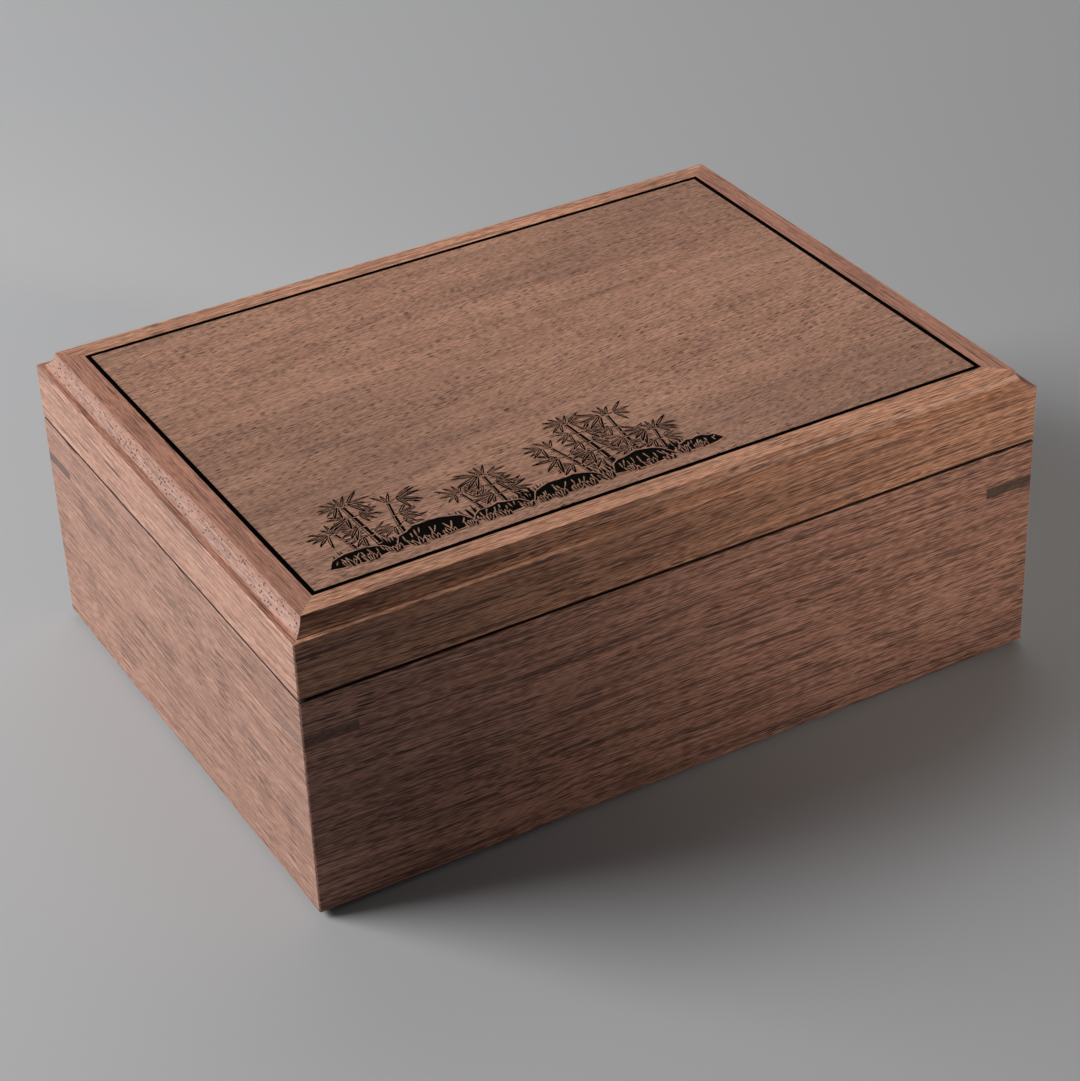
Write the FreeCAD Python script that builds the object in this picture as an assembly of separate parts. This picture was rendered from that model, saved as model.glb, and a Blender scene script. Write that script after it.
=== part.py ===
import FreeCAD, Part
import math
import os

# A walnut case for one fountain pen: a box with keyed mitres, a cove-moulded lid on quadrant hinges,
# a black line round the lid panel and a padded bed inside.
# Millimetres. X runs along the case to the right, Y to the back and Z up.
# The origin is the bottom centre of the whole object, hinge barrels included.

Vector = FreeCAD.Vector

# Case
CASE_LENGTH = 216.0
CASE_DEPTH = 159.0
CASE_HEIGHT = 86.0
LID_HEIGHT = 20.0
SEAM_GAP = 0.75
WALL = 11.8
ARRIS = 0.2
CORNER_EASE = 0.4

# Bottom: a panel in a rebate of the walls, with felt under it
BOTTOM_THICKNESS = 5.0
REBATE_WIDTH = 6.0
BOTTOM_CLEARANCE = 0.1
BOTTOM_CHAMFER = 1.0
FELT_THICKNESS = 1.0
FELT_INSET = 3.0

# Corner keys, let across the mitres of the base
KEY_LEG = 15.0
KEY_THICKNESS = 3.0
KEY_DROP = 11.7

# Moulding of the lid: from the top edge a cove runs down and out to a small step and a ledge
LEDGE_WIDTH = 1.8
LEDGE_DROP = 4.3
COVE_WIDTH = 2.6
COVE_SAGITTA = 0.6
COVE_STEP = 0.2

# Lid panel, held by a tongue in the rails, with a black line round it
PANEL_THICKNESS = 7.5
TONGUE_LENGTH = 3.0
TONGUE_THICKNESS = 2.5
TONGUE_RISE = 1.0
PANEL_CLEARANCE = 0.1
LINE_WIDTH = 1.35
LINE_DEPTH = 2.0

# Liners, which stand above the rim of the base and locate the lid
LINER_THICKNESS = 2.5
LINER_GAP = 0.4
LINER_EASE = 0.8
LIP_HEIGHT = 3.3

# Pen bed on its board and bearers
BED_DROP = 13.4
BED_THICKNESS = 14.0
BED_GAP = 0.3
BED_EASE = 1.5
BED_BOARD = 4.0
BEARER_WIDTH = 8.0
PEN_GROOVE_LENGTH = 152.0
PEN_GROOVE_RADIUS = 8.5
FINGER_NOTCH_LENGTH = 48.0
FINGER_NOTCH_RADIUS = 9.5

# Pad under the lid panel
PAD_BOARD = 1.5
PAD_THICKNESS = 4.0
PAD_GAP = 0.8
PAD_EASE = 2.0

# Magnets in the front rims
MAGNET_DIAMETER = 8.0
MAGNET_THICKNESS = 3.0
MAGNET_SPACING = 150.0

# Quadrant hinges
OPENING_ANGLE = 95.0
AXIS_OFFSET = 1.0
KNUCKLE_DIAMETER = 5.0
KNUCKLE_GAP = 0.2
KNUCKLE_RELIEF = 0.4
PIN_DIAMETER = 2.2
PIN_CLEARANCE = 0.05
LEAF_THICKNESS = 1.5
LEAF_INSET = 1.75
BACK_LEG_TAIL = 20.0
SIDE_LEG_TAIL = 12.0
BARREL_INSET = 3.0
LEAF_CORNER = 1.2

# Stay arms of the hinges
STAY_ROOF = 1.7
STAY_WIDTH = 4.0
STAY_THICKNESS = 1.6
LUG_THICKNESS = 2.8
LUG_ANGLE = 5.0
STAY_CLEARANCE = 0.4
STOP_CLEARANCE = 0.3

# Hinge screws
SCREW_HEAD = 3.8
SCREW_HEAD_DEPTH = 0.9
SCREW_SHANK = 2.0
SCREW_LENGTH = 9.0
SCREW_SLOT = 0.5
SCREW_EDGE = 5.0
SCREW_CLEARANCE = 0.05

# Places worked out from the sizes above
HINGE_PROUD = AXIS_OFFSET + KNUCKLE_DIAMETER / 2
RIGHT = CASE_LENGTH / 2
FRONT = -(CASE_DEPTH + HINGE_PROUD) / 2
BACK = FRONT + CASE_DEPTH
MIDDLE_Y = (FRONT + BACK) / 2
BASE_BOTTOM = FELT_THICKNESS
FLOOR_TOP = BASE_BOTTOM + BOTTOM_THICKNESS
LID_BOTTOM = CASE_HEIGHT - LID_HEIGHT
RIM = LID_BOTTOM - SEAM_GAP
LEDGE = CASE_HEIGHT - LEDGE_DROP
PANEL_BOTTOM = CASE_HEIGHT - PANEL_THICKNESS
TONGUE_BOTTOM = PANEL_BOTTOM + TONGUE_RISE
AXIS_Y = BACK + AXIS_OFFSET
AXIS_Z = RIM + SEAM_GAP / 2
LINER_OUTER = WALL + LINER_GAP
LINER_INNER = LINER_OUTER + LINER_THICKNESS
BED_TOP = RIM - BED_DROP
BED_BOTTOM = BED_TOP - BED_THICKNESS
BOARD_BOTTOM = BED_BOTTOM - BED_BOARD
PAD_TOP = PANEL_BOTTOM - PAD_BOARD
PAD_BOTTOM = PAD_TOP - PAD_THICKNESS
STAY_OUTER = LID_HEIGHT - STAY_ROOF
STAY_INNER = STAY_OUTER - STAY_WIDTH
STOP_ANGLE = math.degrees(math.asin((SEAM_GAP / 2 + LEAF_THICKNESS + STOP_CLEARANCE) / STAY_INNER))
STAY_HALF_ANGLE = OPENING_ANGLE / 2 + STOP_ANGLE + LUG_ANGLE
STAY_X = RIGHT - WALL / 2
STAY_REACH = STAY_OUTER * math.sin(math.radians(STAY_HALF_ANGLE)) + STAY_CLEARANCE
STAY_FRONT = AXIS_Y - STAY_OUTER - STAY_CLEARANCE
STAY_BACK = AXIS_Y - STAY_INNER * math.cos(math.radians(STAY_HALF_ANGLE)) + STAY_CLEARANCE
MORTISE_HALF = LUG_THICKNESS / 2 + STAY_CLEARANCE
LEAF_OUTER = RIGHT - LEAF_INSET
LEAF_INNER = RIGHT - WALL + LEAF_INSET
LEAF_FRONT = BACK - WALL + LEAF_INSET
BARREL_FRONT = AXIS_Y - KNUCKLE_DIAMETER / 2 - KNUCKLE_RELIEF
BACK_LEG_END = STAY_X - MORTISE_HALF - BACK_LEG_TAIL
SIDE_LEG_END = STAY_FRONT - SIDE_LEG_TAIL

# Each side of the case: its first corner, the way along it, the way inwards and its length
SIDES = {
    "front": (Vector(-RIGHT, FRONT, 0), Vector(1, 0, 0), Vector(0, 1, 0), CASE_LENGTH),
    "right": (Vector(RIGHT, FRONT, 0), Vector(0, 1, 0), Vector(-1, 0, 0), CASE_DEPTH),
    "back": (Vector(RIGHT, BACK, 0), Vector(-1, 0, 0), Vector(0, -1, 0), CASE_LENGTH),
    "left": (Vector(-RIGHT, BACK, 0), Vector(0, -1, 0), Vector(1, 0, 0), CASE_DEPTH),
}


def block(x0, x1, y0, y1, z0, z1):
    """A box between two corners."""
    return Part.makeBox(x1 - x0, y1 - y0, z1 - z0, Vector(x0, y0, z0))


def centred_block(inset, z0, z1):
    """A box over the plan of the case, drawn in from all four outer faces."""
    return block(-RIGHT + inset, RIGHT - inset, FRONT + inset, BACK - inset, z0, z1)


def prism(points, z0, z1):
    """A plan outline raised from z0 to z1."""
    corners = [Vector(p.x, p.y, z0) for p in points]
    return Part.Face(Part.makePolygon(corners + corners[:1])).extrude(Vector(0, 0, z1 - z0))


def rod_x(x0, x1, diameter):
    """A cylinder on the hinge axis."""
    return Part.makeCylinder(diameter / 2, x1 - x0, Vector(x0, AXIS_Y, AXIS_Z), Vector(1, 0, 0))


def mirrored(shape):
    """The same piece on the left of the case."""
    return shape.mirror(Vector(0, 0, 0), Vector(1, 0, 0))


def edges_at(shape, test):
    """The edges of a shape whose two ends both pass a test."""
    return [e for e in shape.Edges if all(test(v.Point) for v in e.Vertexes)]


def eased_case():
    """The outer faces of the case, with its upright corners eased."""
    case = centred_block(0, 0, CASE_HEIGHT)
    upright = [e for e in case.Edges if abs(e.tangentAt(e.FirstParameter).z) > 0.5]
    return case.makeChamfer(CORNER_EASE, upright)


def section(entries, place):
    """A closed section. An entry of two numbers is a corner, one of four is a point on an arc and its end."""
    edges = []
    last = place(*entries[0][-2:])
    for entry in entries[1:] + entries[:1]:
        end = place(*entry[-2:])
        if len(entry) == 4:
            edges.append(Part.Arc(last, place(*entry[:2]), end).toShape())
        else:
            edges.append(Part.makeLine(last, end))
        last = end
    return Part.Face(Part.Wire(edges))


def mitred(entries, side):
    """A section of (distance inwards, height), run along one side of the case and mitred at both ends."""
    corner, along, inward, length = SIDES[side]
    run = section(entries, lambda u, z: corner + inward * u + Vector(0, 0, z)).extrude(along * length)
    slant = along + inward
    plan = [
        corner - slant * WALL,
        corner + along * (length + WALL) - inward * WALL,
        corner + along * (length - 2 * WALL) + inward * 2 * WALL,
        corner + slant * 2 * WALL,
    ]
    return run.common(prism(plan, -WALL, CASE_HEIGHT + WALL))


def wall_section():
    """Base wall: chamfered foot, rebate for the bottom panel, eased rim."""
    return [
        (0, BASE_BOTTOM + BOTTOM_CHAMFER),
        (BOTTOM_CHAMFER, BASE_BOTTOM),
        (WALL - REBATE_WIDTH, BASE_BOTTOM),
        (WALL - REBATE_WIDTH, FLOOR_TOP),
        (WALL, FLOOR_TOP),
        (WALL, RIM),
        (ARRIS, RIM),
        (0, RIM - ARRIS),
    ]


def rail_section():
    """Lid rail: eased rim, groove for the panel's tongue, rebate for the line, cove, step and ledge."""
    groove_bottom = TONGUE_BOTTOM - PANEL_CLEARANCE
    groove_top = TONGUE_BOTTOM + TONGUE_THICKNESS + PANEL_CLEARANCE
    groove_back = WALL - TONGUE_LENGTH - PANEL_CLEARANCE
    cove_top = Vector(LEDGE_WIDTH + COVE_WIDTH, CASE_HEIGHT, 0)
    cove_foot = Vector(LEDGE_WIDTH, LEDGE + COVE_STEP, 0)
    chord = cove_top - cove_foot
    hollow = Vector(chord.y, -chord.x, 0).normalize() * COVE_SAGITTA
    cove_middle = (cove_top + cove_foot) * 0.5 + hollow
    return [
        (0, LID_BOTTOM + ARRIS),
        (ARRIS, LID_BOTTOM),
        (WALL, LID_BOTTOM),
        (WALL, groove_bottom),
        (groove_back, groove_bottom),
        (groove_back, groove_top),
        (WALL, groove_top),
        (WALL, CASE_HEIGHT - LINE_DEPTH),
        (WALL - LINE_WIDTH, CASE_HEIGHT - LINE_DEPTH),
        (WALL - LINE_WIDTH, CASE_HEIGHT),
        (cove_top.x, cove_top.y),
        (cove_middle.x, cove_middle.y, cove_foot.x, cove_foot.y),
        (LEDGE_WIDTH, LEDGE),
        (ARRIS, LEDGE),
        (0, LEDGE - ARRIS),
    ]


def line_section():
    """Black line, flush with the top of the lid."""
    inner, outer = WALL, WALL - LINE_WIDTH
    low = CASE_HEIGHT - LINE_DEPTH
    return [(outer, low), (inner, low), (inner, CASE_HEIGHT), (outer, CASE_HEIGHT)]


def corner_key(corner, along, other):
    """A triangle of wood let across the mitre at one corner."""
    low = RIM - KEY_DROP - KEY_THICKNESS / 2
    return prism([corner, corner + along * KEY_LEG, corner + other * KEY_LEG], low, low + KEY_THICKNESS)


def lid_panel():
    """The panel of the lid, with a tongue all round."""
    field = centred_block(WALL + PANEL_CLEARANCE, PANEL_BOTTOM, CASE_HEIGHT)
    tongue = centred_block(WALL - TONGUE_LENGTH, TONGUE_BOTTOM, TONGUE_BOTTOM + TONGUE_THICKNESS)
    return field.fuse(tongue).removeSplitter()


def liners():
    """Four boards round the inside, with their top edges eased."""
    x_out, x_in = RIGHT - LINER_OUTER, RIGHT - LINER_INNER
    top = RIM + LIP_HEIGHT
    boards = {
        "front": (-x_out, x_out, FRONT + LINER_OUTER, FRONT + LINER_INNER),
        "back": (-x_out, x_out, BACK - LINER_INNER, BACK - LINER_OUTER),
        "left": (-x_out, -x_in, FRONT + LINER_INNER, BACK - LINER_INNER),
        "right": (x_in, x_out, FRONT + LINER_INNER, BACK - LINER_INNER),
    }
    made = {}
    for side, plan in boards.items():
        board = block(*plan, FLOOR_TOP, top)
        along = SIDES[side][1]
        top_edges = [
            e for e in edges_at(board, lambda p: p.z > top - LINER_EASE)
            if abs(e.tangentAt(e.FirstParameter).dot(along)) > 0.5
        ]
        made[side] = board.makeFillet(min(LINER_EASE, LINER_THICKNESS / 2.5), top_edges)
    return made


def bed_groove(length, radius, axis):
    """A cutter for a half-round groove in the top of the pen bed."""
    middle = Vector(0, MIDDLE_Y, BED_TOP)
    return Part.makeCylinder(radius, length, middle - axis * (length / 2), axis)


def pen_bed():
    """Padded bed with a groove for the pen and a notch across it for the fingers."""
    bed = centred_block(LINER_INNER + BED_GAP, BED_BOTTOM, BED_TOP)
    bed = bed.makeFillet(BED_EASE, edges_at(bed, lambda p: p.z > BED_TOP - BED_EASE))
    groove = bed_groove(PEN_GROOVE_LENGTH, PEN_GROOVE_RADIUS, Vector(1, 0, 0))
    notch = bed_groove(FINGER_NOTCH_LENGTH, FINGER_NOTCH_RADIUS, Vector(0, 1, 0))
    return bed.cut(groove).cut(notch)


def bed_bearers():
    """Two strips on the bottom panel that carry the bed board."""
    x = RIGHT - LINER_INNER - BED_GAP
    front, back = FRONT + LINER_INNER, BACK - LINER_INNER
    return Part.makeCompound([
        block(-x, x, front, front + BEARER_WIDTH, FLOOR_TOP, BOARD_BOTTOM),
        block(-x, x, back - BEARER_WIDTH, back, FLOOR_TOP, BOARD_BOTTOM),
    ])


def lid_pad():
    """Pad under the lid, its lower edges and its corners rounded."""
    pad = centred_block(WALL + PAD_GAP, PAD_BOTTOM, PAD_TOP)
    return pad.makeFillet(PAD_EASE, edges_at(pad, lambda p: p.z < PAD_BOTTOM + PAD_EASE))


def magnets(z0):
    """A pair of disc magnets in a front rim."""
    y = FRONT + WALL / 2
    return [
        Part.makeCylinder(MAGNET_DIAMETER / 2, MAGNET_THICKNESS, Vector(x, y, z0))
        for x in (-MAGNET_SPACING / 2, MAGNET_SPACING / 2)
    ]


def knuckle_spans():
    """The three knuckles of a barrel along X, from the middle of the case outwards."""
    start = BACK_LEG_END + BARREL_INSET
    length = (LEAF_OUTER - BARREL_INSET - start - 2 * KNUCKLE_GAP) / 3
    starts = [start + i * (length + KNUCKLE_GAP) for i in range(3)]
    return [(x, x + length) for x in starts]


def leaf_plate(z0):
    """The L-shaped plate of a leaf, let into the rims of the back and of one side."""
    plan = [
        Vector(BACK_LEG_END, BACK, 0),
        Vector(BACK_LEG_END, LEAF_FRONT, 0),
        Vector(LEAF_INNER, LEAF_FRONT, 0),
        Vector(LEAF_INNER, SIDE_LEG_END, 0),
        Vector(LEAF_OUTER, SIDE_LEG_END, 0),
        Vector(LEAF_OUTER, BACK, 0),
    ]
    plate = prism(plan, z0, z0 + LEAF_THICKNESS)
    free_ends = [
        e for e in plate.Edges
        if abs(e.tangentAt(e.FirstParameter).z) > 0.5
        and (e.Vertexes[0].Y < SIDE_LEG_END + LEAF_CORNER
             or (e.Vertexes[0].X < BACK_LEG_END + LEAF_CORNER and e.Vertexes[0].Y < BACK - LEAF_CORNER))
    ]
    return plate.makeChamfer(LEAF_CORNER, free_ends)


def screw_places():
    """The two screws of a leaf, one on each leg."""
    return [
        (BACK_LEG_END + SCREW_EDGE, (BARREL_FRONT + LEAF_FRONT) / 2),
        (STAY_X, SIDE_LEG_END + SCREW_EDGE),
    ]


def screw_body(x, y, z, into, grow):
    """A screw with its head let in flush at z; grow makes the hole for it."""
    place, way = Vector(x, y, z), Vector(0, 0, into)
    head = Part.makeCylinder(SCREW_HEAD / 2 + grow, SCREW_HEAD_DEPTH + grow, place, way)
    shank = Part.makeCylinder(SCREW_SHANK / 2 + grow, SCREW_LENGTH + grow, place, way)
    return head.fuse(shank).removeSplitter()


def hinge_screws(z, into):
    """The screws of one leaf, with slotted heads."""
    made = []
    for x, y in screw_places():
        half = SCREW_SLOT / 2
        slot = block(x - SCREW_HEAD, x + SCREW_HEAD, y - half, y + half, z - SCREW_SLOT, z + SCREW_SLOT)
        made.append(screw_body(x, y, z, into, 0).cut(slot))
    return made


def hinge_leaf(z0, face, into, own, others):
    """A leaf of the right hinge: its plate, its knuckles, and holes for the pin, stay and screws."""
    z1 = z0 + LEAF_THICKNESS
    leaf = leaf_plate(z0)
    for x0, x1 in own:
        bridge = block(x0, x1, BARREL_FRONT, AXIS_Y, z0, z1)
        leaf = leaf.fuse(bridge).fuse(rod_x(x0, x1, KNUCKLE_DIAMETER))
    relief = KNUCKLE_DIAMETER + 2 * KNUCKLE_RELIEF
    for x0, x1 in others:
        leaf = leaf.cut(rod_x(x0 - KNUCKLE_GAP, x1 + KNUCKLE_GAP, relief))
    leaf = leaf.cut(rod_x(BACK_LEG_END, LEAF_OUTER, PIN_DIAMETER + 2 * PIN_CLEARANCE))
    half = STAY_THICKNESS / 2 + STAY_CLEARANCE
    slot_back = STAY_FRONT + STAY_WIDTH + 3 * STAY_CLEARANCE
    leaf = leaf.cut(block(STAY_X - half, STAY_X + half, STAY_FRONT, slot_back, z0, z1))
    for x, y in screw_places():
        leaf = leaf.cut(screw_body(x, y, face, into, SCREW_CLEARANCE))
    return leaf


def ring_sector(start, end, thickness):
    """Part of a flat ring about the hinge axis, between two angles above the way to the front."""
    def at(radius, angle):
        forward, rise = radius * math.cos(math.radians(angle)), radius * math.sin(math.radians(angle))
        return Vector(STAY_X - thickness / 2, AXIS_Y - forward, AXIS_Z + rise)

    middle = (start + end) / 2
    edges = [
        Part.Arc(at(STAY_OUTER, start), at(STAY_OUTER, middle), at(STAY_OUTER, end)).toShape(),
        Part.makeLine(at(STAY_OUTER, end), at(STAY_INNER, end)),
        Part.Arc(at(STAY_INNER, end), at(STAY_INNER, middle), at(STAY_INNER, start)).toShape(),
        Part.makeLine(at(STAY_INNER, start), at(STAY_OUTER, start)),
    ]
    return Part.Face(Part.Wire(edges)).extrude(Vector(thickness, 0, 0))


def stay_arm():
    """Curved arm that stops the lid: thicker lugs at its ends catch under the leaves."""
    half = STAY_HALF_ANGLE
    arm = ring_sector(-half, half, STAY_THICKNESS)
    lower_lug = ring_sector(-half, LUG_ANGLE - half, LUG_THICKNESS)
    upper_lug = ring_sector(half - LUG_ANGLE, half, LUG_THICKNESS)
    return arm.fuse([lower_lug, upper_lug]).removeSplitter()


def stay_mortise():
    """The hollow that the stay arm moves in, below and above the seam."""
    x0, x1 = STAY_X - MORTISE_HALF, STAY_X + MORTISE_HALF
    return block(x0, x1, STAY_FRONT, STAY_BACK, AXIS_Z - STAY_REACH, AXIS_Z + STAY_REACH)


def right_hinge():
    """All pieces of the right hinge."""
    spans = knuckle_spans()
    outer_spans, inner_spans = spans[::2], spans[1:2]
    return {
        "hinge_base_leaf": hinge_leaf(RIM - LEAF_THICKNESS, RIM, -1, outer_spans, inner_spans),
        "hinge_lid_leaf": hinge_leaf(LID_BOTTOM, LID_BOTTOM, 1, inner_spans, outer_spans),
        "hinge_pin": rod_x(spans[0][0], spans[-1][1], PIN_DIAMETER),
        "stay_arm": stay_arm(),
        "hinge_base_screws": Part.makeCompound(hinge_screws(RIM, -1)),
        "hinge_lid_screws": Part.makeCompound(hinge_screws(LID_BOTTOM, 1)),
    }


def hinge_cuts():
    """What the right hinge takes out of the wood: leaf beds, barrel hollow, stay mortise, screw holes."""
    barrel = rod_x(BACK_LEG_END, LEAF_OUTER, KNUCKLE_DIAMETER + 2 * KNUCKLE_RELIEF)
    cuts = [leaf_plate(RIM - LEAF_THICKNESS), leaf_plate(LID_BOTTOM), barrel, stay_mortise()]
    for x, y in screw_places():
        cuts.append(screw_body(x, y, RIM, -1, SCREW_CLEARANCE))
        cuts.append(screw_body(x, y, LID_BOTTOM, 1, SCREW_CLEARANCE))
    return cuts


def build():
    """Every piece of the case, by name."""
    outside = eased_case()
    cuts = hinge_cuts()
    cuts += [mirrored(c) for c in cuts]
    base_magnets, lid_magnets = magnets(RIM - MAGNET_THICKNESS), magnets(LID_BOTTOM)

    keys = {}
    for first, second in (("front", "right"), ("right", "back"), ("back", "left"), ("left", "front")):
        corner, along = SIDES[second][:2]
        name = "_".join(sorted((first, second), key=lambda s: s in ("left", "right")))
        keys[name + "_key"] = corner_key(corner, along, SIDES[first][1] * -1)

    nodes = {}
    for side in SIDES:
        wall = mitred(wall_section(), side).common(outside)
        rail = mitred(rail_section(), side).common(outside)
        nodes[side + "_wall"] = wall.cut(cuts + list(keys.values()) + base_magnets)
        nodes["lid_" + side + "_rail"] = rail.cut(cuts + lid_magnets)
        nodes[side + "_line"] = mitred(line_section(), side)
    for name, key in keys.items():
        nodes[name] = key.common(outside).cut(cuts)
    for side, board in liners().items():
        nodes[side + "_liner"] = board

    bottom_inset = WALL - REBATE_WIDTH + BOTTOM_CLEARANCE
    nodes["bottom_panel"] = centred_block(bottom_inset, BASE_BOTTOM, FLOOR_TOP)
    nodes["base_felt"] = centred_block(FELT_INSET, 0, FELT_THICKNESS)
    nodes["bed_bearers"] = bed_bearers()
    nodes["bed_board"] = centred_block(LINER_INNER + BED_GAP, BOARD_BOTTOM, BED_BOTTOM)
    nodes["pen_bed"] = pen_bed()
    nodes["lid_panel"] = lid_panel()
    nodes["lid_pad_board"] = centred_block(WALL + PAD_GAP + PAD_EASE, PAD_TOP, PANEL_BOTTOM)
    nodes["lid_pad"] = lid_pad()
    nodes["base_magnets"] = Part.makeCompound(base_magnets)
    nodes["lid_magnets"] = Part.makeCompound(lid_magnets)
    for name, piece in right_hinge().items():
        nodes["right_" + name] = piece
        nodes["left_" + name] = mirrored(piece)
    return nodes


os.makedirs("parts", exist_ok=True)
for node, shape in build().items():
    shape.exportStep("parts/" + node + ".step")
    print(node, len(shape.Solids), round(shape.Volume, 1), "ok" if shape.isValid() else "INVALID")
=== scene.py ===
"""Fountain pen case in walnut: finishes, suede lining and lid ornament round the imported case."""

import math
import random

import bmesh
import bpy
from mathutils import Matrix, Vector


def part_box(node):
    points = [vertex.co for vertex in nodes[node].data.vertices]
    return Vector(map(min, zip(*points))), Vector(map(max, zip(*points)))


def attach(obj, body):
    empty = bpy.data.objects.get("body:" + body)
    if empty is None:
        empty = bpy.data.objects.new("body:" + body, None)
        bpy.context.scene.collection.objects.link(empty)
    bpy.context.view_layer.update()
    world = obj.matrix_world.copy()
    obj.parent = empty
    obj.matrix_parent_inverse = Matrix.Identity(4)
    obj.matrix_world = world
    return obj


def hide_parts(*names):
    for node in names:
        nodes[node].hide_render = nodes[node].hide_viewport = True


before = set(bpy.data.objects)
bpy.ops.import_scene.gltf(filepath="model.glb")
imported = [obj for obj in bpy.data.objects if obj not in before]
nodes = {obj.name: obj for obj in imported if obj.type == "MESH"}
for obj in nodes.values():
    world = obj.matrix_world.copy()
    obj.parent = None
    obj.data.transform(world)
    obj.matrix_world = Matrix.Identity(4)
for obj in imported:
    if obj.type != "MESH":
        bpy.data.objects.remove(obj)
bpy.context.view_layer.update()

MM = 0.001
FULL_TURN = 2 * math.pi
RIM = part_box("front_wall")[1].z / MM
LID_BOTTOM, LID_TOP = (corner.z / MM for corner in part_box("lid_front_rail"))
LEDGE_DROP = 4.3
LEDGE = LID_TOP - LEDGE_DROP
END_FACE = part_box("right_wall")[1].x / MM
# Millimetres from the seam over which its painted shade fades out
SEAM_SHADE_FADE = (0.06, 0.14)
SIDES = ("front", "back", "left", "right")


# Shader writing

class Tone:
    """One shader value that takes plain arithmetic."""

    def __init__(self, finish, socket):
        self.finish = finish
        self.socket = socket

    def other(self, output):
        """Another output of the same node."""
        return Tone(self.finish, self.socket.node.outputs[output])

    def _with(self, operation, first, second):
        return self.finish.node("Math", {"operation": operation}, {0: first, 1: second})

    def __add__(self, other):
        return self._with("ADD", self, other)

    __radd__ = __add__

    def __sub__(self, other):
        return self._with("SUBTRACT", self, other)

    def __rsub__(self, other):
        return self._with("SUBTRACT", other, self)

    def __mul__(self, other):
        return self._with("MULTIPLY", self, other)

    __rmul__ = __mul__

    def __truediv__(self, other):
        return self._with("DIVIDE", self, other)

    def __rtruediv__(self, other):
        return self._with("DIVIDE", other, self)

    def __pow__(self, other):
        return self._with("POWER", self, other)

    def __rpow__(self, other):
        return self._with("POWER", other, self)


class Finish:
    """One material, written node by node."""

    def __init__(self, name):
        self.material = bpy.data.materials.new(name)
        self.material.use_nodes = True
        self.tree = self.material.node_tree
        self.tree.nodes.clear()

    def node(self, kind, settings=None, sockets=None, output=0):
        """Any node: its settings first, then the values or links of its sockets."""
        made = self.tree.nodes.new("ShaderNode" + kind)
        for name, value in (settings or {}).items():
            if name == "stops":
                self.stops(made.color_ramp, value)
            else:
                setattr(made, name, value)
        for name, value in (sockets or {}).items():
            if isinstance(value, Tone):
                self.tree.links.new(value.socket, made.inputs[name])
            else:
                made.inputs[name].default_value = value
        return Tone(self, made.outputs[output]) if made.outputs else None

    @staticmethod
    def stops(ramp, stops):
        """Sets a ramp's places and colours."""
        while len(ramp.elements) < len(stops):
            ramp.elements.new(1.0)
        for element, (place, colour) in zip(ramp.elements, stops):
            element.position = place
            element.color = (*colour, 1.0)

    def place(self):
        """Where a point is on the case, in millimetres."""
        here = self.node("TexCoord", output="Object")
        return self.node("VectorMath", {"operation": "SCALE"}, {0: here, "Scale": 1 / MM}, "Vector")

    def vector(self, x, y, z):
        return self.node("CombineXYZ", sockets={0: x, 1: y, 2: z})

    def parts(self, vector):
        x = self.node("SeparateXYZ", sockets={0: vector})
        return x, x.other(1), x.other(2)

    def shift(self, vector, amount):
        return self.node("VectorMath", {"operation": "ADD"}, {0: vector, 1: amount})

    def cells(self, vector, sizes):
        """The place counted in cells of these sizes."""
        return self.node("VectorMath", {"operation": "DIVIDE"}, {0: vector, 1: sizes})

    def noise(self, vector, detail=1.0, roughness=0.5, output=0):
        sockets = {"Vector": vector, "Scale": 1.0, "Detail": detail, "Roughness": roughness}
        return self.node("TexNoise", {"noise_dimensions": "3D"}, sockets, output)

    def ease(self, value, low, high):
        """0 below low, 1 above high, smooth between."""
        sockets = {"Value": value, "From Min": low, "From Max": high}
        return self.node("MapRange", {"interpolation_type": "SMOOTHSTEP"}, sockets)

    def ramp(self, value, places, tones):
        """These tones at these places, blended between."""
        return self.node("ValToRGB", {"stops": list(zip(places, tones))}, {0: value})

    def blend(self, share, first, second, kind="MIX"):
        settings = {"data_type": "RGBA", "blend_type": kind}
        first, second = (c if isinstance(c, Tone) else (*c, 1.0) for c in (first, second))
        return self.node("Mix", settings, {0: share, 6: first, 7: second}, 2)

    def painted_seam_shade(self, place):
        """The faces that meet at the seam, as the mask of the painted shade in the gap between lid and
        base.
        """
        height = self.parts(place)[2]
        near, far = SEAM_SHADE_FADE
        base = self.ease(height, RIM - far, RIM - near)
        lid = self.ease(height, LID_BOTTOM + near, LID_BOTTOM + far)
        return base - lid

    def hollow(self, place):
        """The cove between the ledge and the flat top of a lid rail."""
        height = self.parts(place)[2]
        foot = self.ease(height, LEDGE + 0.1, LEDGE + 0.6)
        crown = self.ease(height, LID_TOP - 0.4, LID_TOP - 0.1)
        return foot - crown

    def spots(self, vector, cell, reach, fade):
        """Scattered specks, one to a cell, and a chance value for each."""
        away = self.node("TexVoronoi", {"feature": "F1"},
                         {"Vector": self.cells(vector, cell), "Scale": 1.0}, "Distance")
        return 1 - self.ease(away, reach, reach + fade), self.parts(away.other("Color"))[0]

    def bump(self, height, strength, depth):
        sockets = {"Strength": strength, "Distance": depth * MM, "Height": height}
        return self.node("Bump", sockets=sockets)

    def surface(self, colour, roughness, normal=None, **fixed):
        sockets = {"Base Color": colour, "Roughness": roughness}
        if normal is not None:
            sockets["Normal"] = normal
        sockets.update({name.replace("_", " "): value for name, value in fixed.items()})
        shader = self.node("BsdfPrincipled", sockets=sockets)
        self.node("OutputMaterial", sockets={"Surface": shader})
        return self.material


# Finishes

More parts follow.
